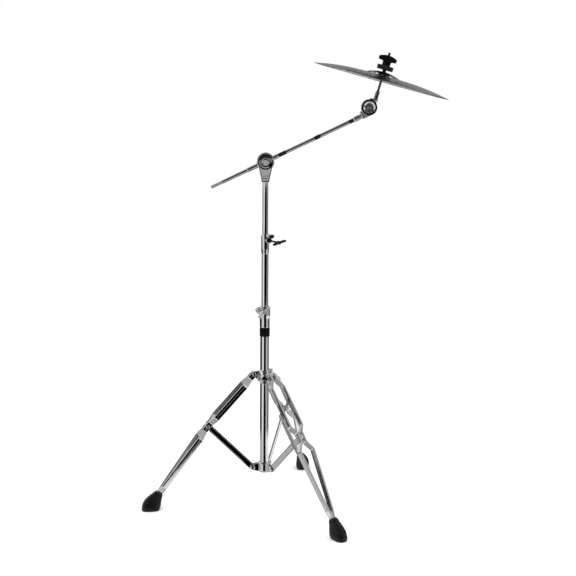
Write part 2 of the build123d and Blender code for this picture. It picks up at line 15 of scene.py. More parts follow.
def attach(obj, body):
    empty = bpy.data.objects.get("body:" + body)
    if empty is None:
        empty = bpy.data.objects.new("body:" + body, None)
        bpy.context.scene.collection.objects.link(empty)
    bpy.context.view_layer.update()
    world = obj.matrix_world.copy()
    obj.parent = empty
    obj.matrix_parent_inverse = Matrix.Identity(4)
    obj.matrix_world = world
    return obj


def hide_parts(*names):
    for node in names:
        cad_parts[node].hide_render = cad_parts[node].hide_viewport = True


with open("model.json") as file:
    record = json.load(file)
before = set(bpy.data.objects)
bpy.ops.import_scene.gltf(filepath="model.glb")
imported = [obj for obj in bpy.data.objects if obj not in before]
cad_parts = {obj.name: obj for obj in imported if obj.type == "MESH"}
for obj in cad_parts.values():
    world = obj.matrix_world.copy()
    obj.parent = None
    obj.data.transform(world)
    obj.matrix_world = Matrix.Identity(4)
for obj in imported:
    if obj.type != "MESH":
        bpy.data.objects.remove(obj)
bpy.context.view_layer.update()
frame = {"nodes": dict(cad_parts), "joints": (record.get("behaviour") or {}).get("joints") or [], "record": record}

RECORD = frame["record"]
JOINTS = {joint["name"]: joint for joint in frame["joints"]}
BODY_OF = {node: body for body, nodes in RECORD["behaviour"]["bodies"].items() for node in nodes}
SLOT_OF = {part["node"]: part["material_slot"] for part in RECORD["subparts"]}
LEGS = ("left", "right", "back")
MM = 0.001


# ---------------------------------------------------------------- placements
def placement(origin, z_axis=(0, 0, 1), x_axis=(1, 0, 0)):
    """Where a piece's own axes stand in the frame."""
    z = Vector(z_axis).normalized()
    x = Vector(x_axis)
    x = (x - z * x.dot(z)).normalized()
    matrix = Matrix((x, z.cross(x), z)).transposed().to_4x4()
    matrix.translation = Vector(origin)
    return matrix


def joint_placement(name):
    """A placement with its z axis on a joint's axis."""
    joint = JOINTS[name]
    return placement(joint.get("pos_m", (0, 0, 0)), joint["axis"])


def local_points(node, place):
    """A CAD node's corners in a placement's own millimetres."""
    back = place.inverted()
    return np.array([back @ v.co for v in frame["nodes"][node].data.vertices]) / MM


def extent(node, place):
    """Lowest and highest local coordinates of a CAD node, in millimetres."""
    points = local_points(node, place)
    return points.min(0), points.max(0)


def span(node, place):
    """How far a CAD node reaches along x (a round one's radius), and its lowest and highest z."""
    low, high = extent(node, place)
    return high[0], low[2], high[2]


def farthest_direction(node, place):
    """The world direction from a placement's z axis to the node's point farthest from it."""
    points = local_points(node, place)
    x, y, _ = points[np.argmax(np.hypot(points[:, 0], points[:, 1]))]
    return place.to_3x3() @ Vector((x, y, 0)).normalized()


COLUMN = placement((0, 0, 0))
BOOM_AXIS = Vector(JOINTS["boom_slide"]["axis"])
BOOM = placement(JOINTS["boom_tilt"]["pos_m"], BOOM_AXIS, (0, 0, -1))
PIVOT = placement(JOINTS["boom_tilt"]["pos_m"], (0, -1, 0), (1, 0, 0))
ROD = joint_placement("cymbal_nut_turn")
TILTER = placement(JOINTS["cymbal_tilt"]["pos_m"], (0, -1, 0), BOOM_AXIS)
SEAT = joint_placement("cymbal_spin")


def leg_placement(leg):
    x, y, _ = JOINTS[f"{leg}_leg_swing"]["pos_m"]
    return placement((0, 0, 0), (0, 0, 1), (x, y, 0))


# ---------------------------------------------------------------- shapes
def corner_curve(before, here, after, radius, steps, shortest=0.0):
    """The points of a curve that replaces a corner, or the corner itself where there is no room."""
    back, ahead = before - here, after - here
    if radius <= 0 or back.length < 1e-6 or ahead.length < 1e-6:
        return [here]
    half = max(back.angle(ahead) / 2, 0.05)
    reach = min(radius / tan(half), 0.48 * back.length, 0.48 * ahead.length)
    if reach < shortest:
        return [here]
    start, end = here + back.normalized() * reach, here + ahead.normalized() * reach
    shares = [k / steps for k in range(steps + 1)]
    return [start * (1 - t) ** 2 + here * 2 * t * (1 - t) + end * t * t for t in shares]


def rounded(outline, steps=4):
    """A closed outline whose corners (x, y, radius) are curves; a corner without a radius is sharp."""
    flat = [Vector(corner[:2]) for corner in outline]
    points = []
    for i, corner in enumerate(outline):
        radius = corner[2] if len(corner) > 2 else 0
        points += corner_curve(flat[i - 1], flat[i], flat[(i + 1) % len(flat)], radius, steps)
    return points


def bent(points, radius):
    """A 3-D polyline with its inner corners rounded."""
    result = [points[0]]
    for before, here, after in zip(points, points[1:], points[2:]):
        result += corner_curve(before, here, after, radius, 8, 0.3)
    return result + [points[-1]]


def skinned(rings, closed=True):
    """A surface through rings of points; a ring of one point is a pole."""
    shape = bmesh.new()
    made = []
    around = max(len(ring) for ring in rings)
    for ring in rings:
        verts = [shape.verts.new(p) for p in ring]
        made.append(verts if len(verts) > 1 else verts * around)
    pairs = list(zip(made, made[1:]))
    if closed:
        pairs.append((made[-1], made[0]))
    for low, high in pairs:
        for i in range(around):
            j = (i + 1) % around
            corners = list(dict.fromkeys((low[i], low[j], high[j], high[i])))
            if len(corners) > 2:
                shape.faces.new(corners)
    if not closed:
        for ring in (made[0], made[-1]):
            if len(set(ring)) > 2:
                shape.faces.new(ring)
    bmesh.ops.recalc_face_normals(shape, faces=shape.faces)
    return shape


def on_circle(radius, share, z):
    """A point at a height and a share of a turn."""
    return (radius * cos(2 * pi * share), radius * sin(2 * pi * share), z)


def turned(profile, around=96):
    """A lathe shape from its closed outline of (radius, height, corner radius)."""
    rings = []
    for r, z in rounded(profile):
        count = 1 if r < 1e-4 else around
        rings.append([on_circle(r, i / count, z) for i in range(count)])
    return skinned(rings)


def pipe(outer, inner, low, high, edge):
    return turned([(inner, low, edge / 2), (outer, low, edge), (outer, high, edge), (inner, high, edge / 2)])


def rod_shape(radius, low, high, edge=0.5, around=96):
    return turned([(0, low), (radius, low, edge), (radius, high, edge), (0, high)], around)


def prism(outline, low, high, edge=0.0):
    """A plate with its outline in the XZ plane, from one y to another, with rounded rims."""
    points = rounded(outline)
    shape = skinned([[(x, y, z) for x, z in points] for y in sorted((low, high))], closed=False)
    if edge:
        rims = [e for e in shape.edges if abs(e.verts[0].co.y - e.verts[1].co.y) < 1e-6]
        bmesh.ops.bevel(shape, geom=rims, offset=edge, segments=3, profile=0.5, affect="EDGES",
                        clamp_overlap=True)
    return shape


def block(x0, x1, y0, y1, z0, z1, corner=1.0, edge=0.8):
    outline = [(x0, z0, corner), (x1, z0, corner), (x1, z1, corner), (x0, z1, corner)]
    return prism(outline, y0, y1, edge)


def capsule(length, radius, low, high):
    """A straight bar along X with round ends, centred on its two end points."""
    turns = np.linspace(0, pi, 17)
    outline = [(length + radius * sin(a), radius * cos(a)) for a in turns]
    outline += [(-radius * sin(a), -radius * cos(a)) for a in turns]
    return prism(outline, low, high)


def joined(*shapes):
    """One shape from several, which stay as they are."""
    result = bmesh.new()
    for shape in shapes:
        mesh = bpy.data.meshes.new("part")
        shape.to_mesh(mesh)
        result.from_mesh(mesh)
        bpy.data.meshes.remove(mesh)
    return result


def moved(shape, *matrices):
    """Copies of a shape, one at each matrix."""
    copies = []
    for matrix in matrices:
        copy = shape.copy()
        copy.transform(matrix)
        copies.append(copy)
    return joined(*copies)


def at(x=0.0, y=0.0, z=0.0):
    return Matrix.Translation((x, y, z))


def turn(degrees_, axis):
    return Matrix.Rotation(radians(degrees_), 4, axis)


ALONG_Y = turn(-90, "X")


def disc_y(radius, low, high, x=0.0, z=0.0, edge=0.8):
    """A disc across the Y axis."""
    return moved(rod_shape(radius, *sorted((low, high)), edge, 64), at(x, 0, z) @ ALONG_Y)


def new_object(name, data):
    """An object that is in the scene."""
    made = bpy.data.objects.new(name, data)
    bpy.context.scene.collection.objects.link(made)
    return made


def relaxed(mesh, passes):
    """Evens out a mesh, so that its inner and outer corners become fillets."""
    count = len(mesh.vertices)
    co = np.empty(count * 3)
    mesh.vertices.foreach_get("co", co)
    co = co.reshape(-1, 3)
    ends = np.empty(len(mesh.edges) * 2, int)
    mesh.edges.foreach_get("vertices", ends)
    a, b = ends.reshape(-1, 2).T
    degree = np.bincount(ends, minlength=count)
    for _ in range(passes):
        for axis in range(3):
            total = np.bincount(a, co[b, axis], count) + np.bincount(b, co[a, axis], count)
            co[:, axis] += 0.5 * (total / degree - co[:, axis])
    mesh.vertices.foreach_set("co", co.ravel())


def fused(*shapes, voxel=0.7, passes=5):
    """One soft-edged casting from closed shapes that overlap."""
    mesh = bpy.data.meshes.new("casting")
    joined(*shapes).to_mesh(mesh)
    obj = new_object("casting", mesh)
    remesh = obj.modifiers.new("fuse", "REMESH")
    remesh.mode = "VOXEL"
    remesh.voxel_size = voxel
    solid = bpy.data.meshes.new_from_object(obj.evaluated_get(bpy.context.evaluated_depsgraph_get()))
    bpy.data.objects.remove(obj)
    relaxed(solid, passes)
    shape = bmesh.new()
    shape.from_mesh(solid)
    bpy.data.meshes.remove(solid)
    return shape


def hexagon(across, low, high):
    """A hex nut or head on the Z axis, with its corners chamfered."""
    flat_r, corner_r = across / 2, across / 2 / cos(pi / 6)
    around = 96
    rings = []
    for z, limit in ((low, 0.5), (low + 0.7, 1), (high - 0.7, 1), (high, 0.5)):
        ring = []
        for i in range(around):
            off_flat = (2 * pi * i / around + pi / 6) % (pi / 3) - pi / 6
            r = min(flat_r / cos(off_flat), flat_r + (corner_r - flat_r) * limit)
            ring.append(on_circle(r, i / around, z))
        rings.append(ring)
    return skinned(rings, closed=False)


def threaded(radius, low, high, pitch=1.25, depth=0.55, around=40):
    """A rod with a helical thread that fades out at both ends."""
    steps = 6
    count = int((high - low) / pitch * steps)
    rings = []
    for k in range(count + 1):
        z = low + (high - low) * k / count
        fade = min(1.0, (count - k) / steps, k / steps)
        ring = []
        for i in range(around):
            phase = ((z - low) / pitch - i / around) % 1.0
            cut = depth * abs(2 * phase - 1) * fade + depth * (1 - fade) * 0.6
            ring.append(on_circle(radius - cut, i / around, z))
        rings.append(ring)
    return skinned(rings, closed=False)


def wings(half_span, base, low, high, thick):
    """Two swept wings in the XZ plane, as plates with round ends."""
    mid, tall = (low + high) / 2, (high - low) / 2
    shapes = []
    for side in (1, -1):
        outline = [(side * base * 0.3, low - 1, 2), (side * half_span * 0.62, mid - tall * 1.05, 5),
                   (side * half_span, mid - tall * 0.75, tall * 0.8),
                   (side * half_span, mid + tall, tall * 0.8),
                   (side * half_span * 0.6, mid + tall * 0.75, 6), (side * base * 0.3, high - 4, 3)]
        if side < 0:
            outline.reverse()
        shapes.append(prism(outline, -thick / 2, thick / 2, thick * 0.3))
    return shapes


# ---------------------------------------------------------------- materials
def new_material(name):
    """An empty material: itself, its tree, its shader and the piece's own coordinates."""
    material = bpy.data.materials.new(name)
    material.use_nodes = True
    tree = material.node_tree
    where = add_node(tree, "ShaderNodeTexCoord").outputs["Object"]
    return material, tree, tree.nodes["Principled BSDF"], where


def add_node(tree, kind, inputs=None, **settings):
    made = tree.nodes.new(kind)
    for key, value in settings.items():
        setattr(made, key, value)
    for key, value in (inputs or {}).items():
        if isinstance(value, bpy.types.NodeSocket):
            tree.links.new(value, made.inputs[key])
        else:
            made.inputs[key].default_value = value
    return made


def noise(tree, vector, scale, detail=4.0, roughness=0.5):
    made = add_node(tree, "ShaderNodeTexNoise", {"Vector": vector, "Scale": scale, "Detail": detail,
                                                 "Roughness": roughness})
    return made.outputs["Fac"]


def ramp(tree, value, low, high, to_low, to_high):
    made = add_node(tree, "ShaderNodeMapRange", {"Value": value, "From Min": low, "From Max": high,
                                                 "To Min": to_low, "To Max": to_high})
    return made.outputs["Result"]


def mixed(tree, share, low, high):
    """The low colour where the share is 0 and the high one where it is 1."""
    return add_node(tree, "ShaderNodeMix", {"Factor": share, 6: low, 7: high}, data_type="RGBA").outputs[2]


def grey(value, warm=0.0):
    return (value * (1 + warm), value, value * (1 - warm), 1)


def maths(tree, operation, a, b=None):
    inputs = {0: a}
    if b is not None:
        inputs[1] = b
    return add_node(tree, "ShaderNodeMath", inputs, operation=operation).outputs[0]


def times(tree, a, b):
    return maths(tree, "MULTIPLY", a, b)


def plus(tree, a, b):
    return maths(tree, "ADD", a, b)


def tint(tree, shader, value, low, high):
    """Colours a shader between two greys by a value from 0 to 1."""
    tree.links.new(mixed(tree, value, low, high), shader.inputs["Base Color"])


def fixed(shader, values):
    """Sets a shader's own inputs to constants."""
    for name, value in values.items():
        shader.inputs[name].default_value = value


def bump(tree, shader, height, strength, distance):
    made = add_node(tree, "ShaderNodeBump", {"Height": height, "Strength": strength, "Distance": distance})
    tree.links.new(made.outputs["Normal"], shader.inputs["Normal"])


def chrome(name, dark, light, rough, ripple, ripple_scale=60.0):
    """Plated metal: a mirror with faint smudges, plating ripple and a slightly uneven tone."""
    material, tree, shader, where = new_material(name)
    smudge = noise(tree, where, 38.0, 6.0, 0.62)
    tint(tree, shader, ramp(tree, smudge, 0.35, 0.7, 0, 1), grey(dark), grey(light))
    tree.links.new(ramp(tree, smudge, 0.4, 0.75, *rough), shader.inputs["Roughness"])
    fixed(shader, {"Metallic": 1.0})
    bump(tree, shader, noise(tree, where, ripple_scale, 2.0), ripple, 0.0006)
    return material


def moulded(name, dark, light, rough, grain_scale, grain, specular):
    """Moulded plastic or rubber: a fine grain, with a paler bloom that follows a broad noise."""
    material, tree, shader, where = new_material(name)
    bloom = noise(tree, where, 55.0, 5.0, 0.6)
    tint(tree, shader, ramp(tree, bloom, 0.35, 0.75, 0, 1), grey(dark), grey(light))
    tree.links.new(ramp(tree, bloom, 0.3, 0.7, *rough), shader.inputs["Roughness"])
    fixed(shader, {"Specular IOR Level": specular})
    bump(tree, shader, noise(tree, where, grain_scale, 3.0, 0.6), grain, 0.0004)
    return material


def felt_material():
    """Pressed wool: matted fibres, small clumps and a soft sheen."""
    material, tree, shader, where = new_material("black_wool_felt")
    fibres = noise(tree, where, 1500.0, 8.0, 0.7)
    clumps = noise(tree, where, 260.0, 3.0, 0.5)
    both = times(tree, fibres, clumps)
    tint(tree, shader, ramp(tree, both, 0.12, 0.4, 0, 1), grey(0.004), grey(0.016))
    fixed(shader, {"Roughness": 0.95, "Specular IOR Level": 0.1, "Sheen Weight": 0.06,
                   "Sheen Roughness": 0.6})
    bump(tree, shader, both, 0.9, 0.0008)
    return material


def cymbal_material():
    """Lathed and hammered bronze: fine rings and hammer marks, with painted highlight streaks in its colour,
    radial round the bell and fine on the bow.
    """
    material, tree, shader, where = new_material("lathed_cymbal_bronze_painted_streaks")
    x, y, _ = add_node(tree, "ShaderNodeSeparateXYZ", {0: where}).outputs
    radius = maths(tree, "SQRT", plus(tree, times(tree, x, x), times(tree, y, y)))
    rings = add_node(tree, "ShaderNodeTexNoise", {"W": times(tree, radius, 900.0), "Scale": 1.0,
                                                  "Detail": 3.0}, noise_dimensions="1D").outputs["Fac"]
    spoke = add_node(tree, "ShaderNodeCombineXYZ", {0: maths(tree, "DIVIDE", x, radius),
                                                    1: maths(tree, "DIVIDE", y, radius),
                                                    2: times(tree, radius, 3.0)}).outputs[0]
    # Painted highlight: light and dark radial streaks in the base colour stand in for the bronze's reflections,
    # coarse ones on the bell and fine ones on the bow.
    painted_burst_highlight = ramp(tree, noise(tree, spoke, 8.0, 1.0, 0.5), 0.46, 0.53, 0, 1)
    painted_strand_highlights = ramp(tree, noise(tree, spoke, 26.0, 3.0, 0.6), 0.4, 0.6, 0, 1)
    inner = ramp(tree, radius, 0.075, 0.14, 1.0, 0.0)
    painted_streaks = add_node(tree, "ShaderNodeMix", {0: inner, 2: painted_strand_highlights, 3: painted_burst_highlight}).outputs[0]
    # The painted highlight streaks are stronger on the bell. With the lathe rings' tone they set the colour, from
    # near black to near white.
    shade = plus(tree, times(tree, painted_streaks, ramp(tree, inner, 0, 1, 0.6, 1.0)), times(tree, rings, 0.3))
    tint(tree, shader, ramp(tree, shade, 0.1, 1.15, 0, 1), grey(0.02, 0.03), grey(0.95, 0.03))
    cloud = noise(tree, where, 26.0, 4.0)
    tree.links.new(ramp(tree, cloud, 0.3, 0.7, 0.1, 0.18), shader.inputs["Roughness"])
    fixed(shader, {"Metallic": 1.0})
    dents = add_node(tree, "ShaderNodeTexVoronoi", {"Vector": where, "Scale": 62.0},
                     feature="SMOOTH_F1").outputs["Distance"]
    bump(tree, shader, plus(tree, times(tree, rings, 0.25), dents), 0.25, 0.0012)
    return material


def knurled_material():
    """Turned steel with a fine diamond knurl: two crossing sets of helical waves, with painted shade that darkens
    the colour in the knurl's valleys.
    """
    around, along = 36.0, 7200.0
    material, tree, shader, where = new_material("knurled_steel_end")
    x, y, z = add_node(tree, "ShaderNodeSeparateXYZ", {0: where}).outputs
    angle = times(tree, maths(tree, "ARCTAN2", y, x), around)
    height = times(tree, z, along)
    knurl = times(tree, maths(tree, "SINE", plus(tree, angle, height)),
                  maths(tree, "SINE", maths(tree, "SUBTRACT", angle, height)))
    # Painted shade: the colour follows the knurl's height, darker in its valleys and lighter on its ridges.
    tint(tree, shader, ramp(tree, knurl, -1, 1, 0, 1), grey(0.35), grey(0.68))
    fixed(shader, {"Metallic": 1.0, "Roughness": 0.28})
    bump(tree, shader, knurl, 0.5, 0.0003)
    return material


MATERIALS = {
    "chrome_tube": chrome("mirror_chrome_tube", 0.66, 0.74, (0.02, 0.05), 0.02),
    "chrome_steel": chrome("chromed_pressed_steel", 0.62, 0.72, (0.03, 0.09), 0.06),
    "cast_chrome": chrome("chromed_casting", 0.6, 0.72, (0.06, 0.13), 0.04, 90.0),
    "bolts": chrome("chromed_fastener", 0.55, 0.68, (0.06, 0.14), 0.08, 200.0),
    "threaded_rod": chrome("threaded_steel", 0.1, 0.2, (0.12, 0.24), 0.1, 300.0),
    "knurled_steel": knurled_material(),
    "black_metal": chrome("black_plated_metal", 0.015, 0.03, (0.10, 0.2), 0.08, 200.0),
    "black_plastic": moulded("black_moulded_plastic", 0.002, 0.005, (0.25, 0.4), 1600.0, 0.12, 0.05),
    "nylon": moulded("black_nylon", 0.006, 0.012, (0.3, 0.45), 900.0, 0.08, 0.1),
    "rubber": moulded("black_rubber", 0.003, 0.007, (0.3, 0.42), 1300.0, 0.3, 0.28),
    "felt": felt_material(),
    "cymbal_bronze": cymbal_material(),
}


# ---------------------------------------------------------------- pieces
def add(node, shape, place, sharp=38.0):
    """Puts a finished piece in the scene in place of a CAD node, on that node's body."""
    shape.transform(Matrix.Scale(MM, 4))
    bmesh.ops.recalc_face_normals(shape, faces=shape.faces)
    mesh = bpy.data.meshes.new(f"{node}_finished")
    shape.to_mesh(mesh)
    shape.free()
    mesh.polygons.foreach_set("use_smooth", [True] * len(mesh.polygons))
    mesh.set_sharp_from_angle(angle=radians(sharp))
    piece = new_object(f"{node}_finished", mesh)
    even = piece.modifiers.new("even_normals", "WEIGHTED_NORMAL")
    even.keep_sharp = True
    even.weight = 90
    depsgraph = bpy.context.evaluated_depsgraph_get()
    piece.data = bpy.data.meshes.new_from_object(piece.evaluated_get(depsgraph), depsgraph=depsgraph)
    piece.modifiers.clear()
    piece.data.materials.clear()
    piece.data.materials.append(MATERIALS[SLOT_OF[node]])
    piece.matrix_world = place
    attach(piece, BODY_OF[node])
    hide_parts(node)


def add_turned(node, place, *profile):
    """A finished piece turned on its placement's axis."""
    add(node, turned(profile), place)


def around_legs(shape):
    """Three copies of a shape, one towards each leg."""
    return moved(shape, *[leg_placement(leg) for leg in LEGS])


# column
TUBE_WALL = 1.4
RUNNING_FIT = 0.05


def column_tubes():
    """The three tubes, the plug, the plain band and the swivel bushes."""
    for node in ("base_tube", "middle_tube", "upper_tube"):
        r, base, top = span(node, COLUMN)
        add(node, pipe(r, r - TUBE_WALL, base, top, 0.8), COLUMN)
    r, base, top = span("base_tube_plug", COLUMN)
    add_turned("base_tube_plug", COLUMN, (0, base + 1), (r - 3, base + 1, 1), (r - 2, base, 1),
               (r, base, 0.5), (r, top, 0.5), (0, top))
    r, base, top = span("plain_band", COLUMN)
    add("plain_band", pipe(r, r - 1.8, base, top, 1.2), COLUMN)
    for node, tube_node in (("base_bushing", "middle_tube"), ("upper_bushing", "upper_tube")):
        r, base, top = span(node, COLUMN)
        bore = span(tube_node, COLUMN)[0] + RUNNING_FIT
        body, flange = bore + 1.2, top - 2.5
        add_turned(node, COLUMN, (bore, base, 0.3), (body, base, 0.3), (body, flange), (r, flange, 0.3),
                   (r, top, 1.0), (bore, top, 0.5))


HUB_ARM_HALF = 8.0
BRACE_HALF, BRACE_WIDTH = 3.0, 19.0
EYE_R = 9.4
COLLAR_TONGUE_HALF = 4.6
CASTING_WALL = 5.7


def pivot(leg_joint):
    """Distance from the column and height of a leg's or brace's pivot, in millimetres."""
    x, y, z = JOINTS[leg_joint]["pos_m"]
    return hypot(x, y) / MM, z / MM


def lower_hub():
    """Cast spider: a ring round the tube and three forks for the braces."""
    _, z0, z1 = span("lower_hub", COLUMN)
    ring_r = span("base_tube", COLUMN)[0] + CASTING_WALL
    r, z = pivot("left_brace_swing")
    shapes = [turned([(0, z0), (ring_r - 3, z0, 2), (ring_r, z0 + 5, 3), (ring_r, z1 - 4, 3),
                      (ring_r - 3, z1, 2), (0, z1)])]
    for side in (1, -1):
        inner, outer = BRACE_HALF + 0.4, HUB_ARM_HALF
        cheek = prism([(8, z0, 1), (r - 2, z - EYE_R, 4), (r + EYE_R * 0.7, z - EYE_R * 0.7, 6),
                       (r + EYE_R, z, 6), (r + EYE_R * 0.6, z + EYE_R * 0.8, 6), (r, z + EYE_R, 4),
                       (ring_r - 2, z1 - 2, 5), (8, z1 - 2, 1)], side * inner, side * outer, 1.2)
        boss = disc_y(6.8, side * inner, side * (outer + 0.9), r, z, 0.8)
        shapes += [around_legs(cheek), around_legs(boss)]
    web = block(8, ring_r + 2.5, -4, 4, z0 + 1, z1 - 4, 2, 1)
    add("lower_hub", fused(*shapes, around_legs(web), voxel=0.75), COLUMN)


def riveted_pins(node, joint, half):
    """Pivot pins with domed heads, one at each leg."""
    r, z = pivot(joint)
    head = 6.2
    profile = [(0, -half - 2.4), (head * 0.6, -half - 2.2, 1), (head, -half - 0.8, 1), (head, -half, 0.2),
               (4, -half), (4, half), (head, half, 0.2), (head, half + 0.8, 1),
               (head * 0.6, half + 2.2, 1), (0, half + 2.4)]
    pin = moved(turned(profile, 48), at(r, 0, z) @ ALONG_Y)
    add(node, around_legs(pin), COLUMN)


def leg_collar():
    """Sliding casting: a sloped body round the tube, a tongue for each leg and a boss at the front."""
    _, z0, z1 = span("leg_collar", COLUMN)
    tube_r = span("base_tube", COLUMN)[0]
    ring_r = tube_r + CASTING_WALL
    r, z = pivot("left_leg_swing")
    key = JOINTS["collar_screw_turn"]["pos_m"][2] / MM
    body = turned([(0, z0), (ring_r - 3, z0, 1.5), (ring_r, z0 + 9, 4), (ring_r, z1 - 12, 5),
                   (tube_r + 3.0, z1 - 2, 2), (tube_r + 1.2, z1, 0.8), (0, z1)])
    tongue = prism([(6, z0 + 8, 2), (ring_r, z0 + 10, 4), (r + 3, z - 9, 6), (r + 8, z - 2, 6),
                    (r + 7, z + 6, 6), (r, z + 8, 5), (ring_r - 1, z1 - 3, 6), (6, z1 - 3, 2)],
                   -COLLAR_TONGUE_HALF, COLLAR_TONGUE_HALF, 1.0)
    rib = block(6, ring_r + 3, -6.5, 6.5, z0 + 6, z1 - 9, 3, 2)
    diamond = [(-12, 0, 3), (0, -15, 3), (12, 0, 3), (0, 17, 4)]
    lug = moved(prism(diamond, -21.5, -12, 1.5), at(0, 0, key + 9))
    boss = disc_y(7.2, -28, -10, 0, key, 1.2)
    add("leg_collar", fused(body, around_legs(tongue), around_legs(rib), lug, boss, voxel=0.75), COLUMN)
    bolt = joined(disc_y(3, -33, -16, 0, key, 0.3), disc_y(5.2, -31, -28.3, 0, key, 0.6),
                  block(-3, 3, -39, -30, key - 3, key + 3, 0.8, 0.7))
    add("collar_key_bolt", bolt, COLUMN)


def clamps():
    """The two tube clamps: one with a split lug, one with an ear and a screw boss."""
    _, z0, z1 = span("base_clamp", COLUMN)
    lug_at = Vector(JOINTS["base_clamp_screw_turn"]["pos_m"]) / MM
    lug_turn = Matrix.Rotation(atan2(lug_at.y, lug_at.x), 4, "Z")
    reach, bolt_z = hypot(lug_at.x, lug_at.y), lug_at.z
    r = span("base_tube", COLUMN)[0] + 2.3
    body = turned([(0, z0), (r - 0.6, z0, 0.6), (r - 0.2, z0 + 30, 8), (r + 1, z0 + 40, 5),
                   (r + 1.2, z1 - 5, 3), (r - 1.5, z1, 1.5), (0, z1)])
    outline = [(6, bolt_z - 13, 3), (reach + 2, bolt_z - 12, 7), (reach + 8, bolt_z - 2, 8),
               (reach + 6, bolt_z + 9, 7), (6, bolt_z + 11, 3)]
    ears = []
    for side in (1, -1):
        ears += [prism(outline, side * 1.3, side * 9, 1.2), disc_y(7, side * 2, side * 9.8, reach, bolt_z)]
    add("base_clamp", fused(body, moved(joined(*ears), lug_turn)), COLUMN)

    _, z0, z1 = span("middle_clamp", COLUMN)
    r = 12.9
    body = turned([(0, z0), (r - 1.4, z0, 0.6), (r, z0 + 16, 8), (r, z1 - 20, 5), (r + 0.3, z1 - 6, 3),
                   (r - 1.2, z1, 1.2), (0, z1)])
    ear = moved(prism([(4, z1 - 17, 2), (24, z1 - 16, 5), (30, z1 - 10, 6), (29, z1 - 3, 5), (4, z1 - 2, 2)],
                      -5, 5, 1.4), turn(10, "Z"))
    boss = moved(rod_shape(6.6, 6, 18, 1.0, 64), unit_mm(joint_placement("middle_clamp_screw_turn")))
    add("middle_clamp", fused(body, ear, boss, voxel=0.6), COLUMN)


def unit_mm(place):
    """A placement whose translation is in millimetres, for shapes that are joined in the column's frame."""
    matrix = place.copy()
    matrix.translation = place.translation / MM
    return matrix


WING_SHANK_R = 3.0


def wing_piece(node, place, hub_r, thick, shank=0.0, bore=None):
    """A wing nut or wing screw that fills its CAD node's extents along and across its axis."""
    place = placement(place.translation, place.col[2].xyz, farthest_direction(node, place))
    low, high = extent(node, place)
    half = max(high[0], -low[0])
    start, top = low[2] + shank, high[2]
    hub_top = start + (top - start) * 0.82
    hub = turned([(0, start), (hub_r, start, 0.8), (hub_r * 0.98, start + 2, 0.5),
                  (hub_r * 0.85, hub_top, 1.6), (0, hub_top)], 64)
    blades = wings(half, hub_r, start + (hub_top - start) * 0.22, top, thick)
    shapes = [fused(hub, *blades, voxel=0.5, passes=6)]
    if shank:
        shapes.append(threaded(WING_SHANK_R, low[2], start + 1))
    if bore:
        shapes.append(hexagon(bore * 2 + 3, hub_top - 0.8, hub_top + 0.25))
    add(node, joined(*shapes), place)


def screws():
    """The wing screws and nuts of the clamps and tilters."""
    base = joint_placement("base_clamp_screw_turn")
    wing_piece("base_clamp_wing_bolt", base, hub_r=6.3, thick=5, shank=44)
    add("base_clamp_nut", hexagon(10, *span("base_clamp_nut", base)[1:]), base)
    middle = joint_placement("middle_clamp_screw_turn")
    wing_piece("middle_clamp_wing_bolt", middle, hub_r=6, thick=5.5, shank=56)
    add("middle_clamp_nut", hexagon(14.2, *span("middle_clamp_nut", middle)[1:]), middle)
    wing_piece("boom_tilter_wing_nut", joint_placement("boom_tilter_screw_turn"), 9.3, 6, bore=AXLE_R)
    wing_piece("tilter_wing_nut", joint_placement("cymbal_tilter_screw_turn"), 7.8, 5, bore=4)


# tripod
LOWER_LEG_SLOPE = 54.3
LOWER_LEG = 269.0  # knee to the top of the boot
NECK_HALF, KNEE_HALF, UPPER_HALF, LOWER_HALF = 8.3, 9.0, 23.5, 27.0
SHIN_HALF, ANKLE_HALF = 7.8, 3.8
RAIL_DEPTH, RAIL_WIDTH, RAIL_IN_BOOT = 19.0, 7.0, 15.8
BEND_R = 14.0


def rail_section():
    """A pressed channel: rounded edges and a shallow groove along both flanks."""
    w, d = RAIL_WIDTH / 2, RAIL_DEPTH / 2
    groove = w - 0.35
    right = [(w, -d, 1.8), (w, -1.8, 0.4), (groove, -1.3, 0.4), (groove, 1.3, 0.4), (w, 1.8, 0.4),
             (w, d, 1.8)]
    left = [(-x, -y, r) for x, y, r in right]
    return rounded(right + left, 3)


def knee_point(leg):
    """Distance from the column and height of a leg's knee, in millimetres."""
    low, high = extent(f"{leg}_knee_rivet", leg_placement(leg))
    return (low[0] + high[0]) / 2, (low[2] + high[2]) / 2


def leg_rail(leg, side):
    """One rail: its section swept along a bent line from the collar to the boot."""
    top_r, top_z = pivot(f"{leg}_leg_swing")
    knee_r, knee_z = knee_point(leg)
    top, knee = Vector((top_r, 0, top_z)), Vector((knee_r, 0, knee_z))
    upper_dir = (knee - top).normalized()
    slope = radians(LOWER_LEG_SLOPE)
    lower_dir = Vector((cos(slope), 0, -sin(slope)))
    across = Vector((0, side, 0))
    upper = [(-7, NECK_HALF), (20, NECK_HALF), (47, UPPER_HALF), (188, UPPER_HALF), (209, KNEE_HALF)]
    lower = [(0, KNEE_HALF), (19, KNEE_HALF), (45, LOWER_HALF), (LOWER_LEG - 24, SHIN_HALF),
             (LOWER_LEG - 6, ANKLE_HALF), (LOWER_LEG + RAIL_IN_BOOT, ANKLE_HALF)]
    corners = [top + upper_dir * s + across * y for s, y in upper]
    corners += [knee + lower_dir * s + across * y for s, y in lower]
    line = bent(corners, BEND_R)
    section = rail_section()
    rings = []
    for before, here, after in zip([line[0], *line], line, [*line[1:], line[-1]]):
        run = lower_dir if here.x > knee_r + 0.5 else upper_dir
        depth = Vector((-run.z, 0, run.x))
        width = (after - before).cross(depth).normalized()
        rings.append([here + width * u + depth * v for u, v in section])
    return skinned(rail_end(rings[0], line[0], upper_dir) + rings[1:], closed=False)


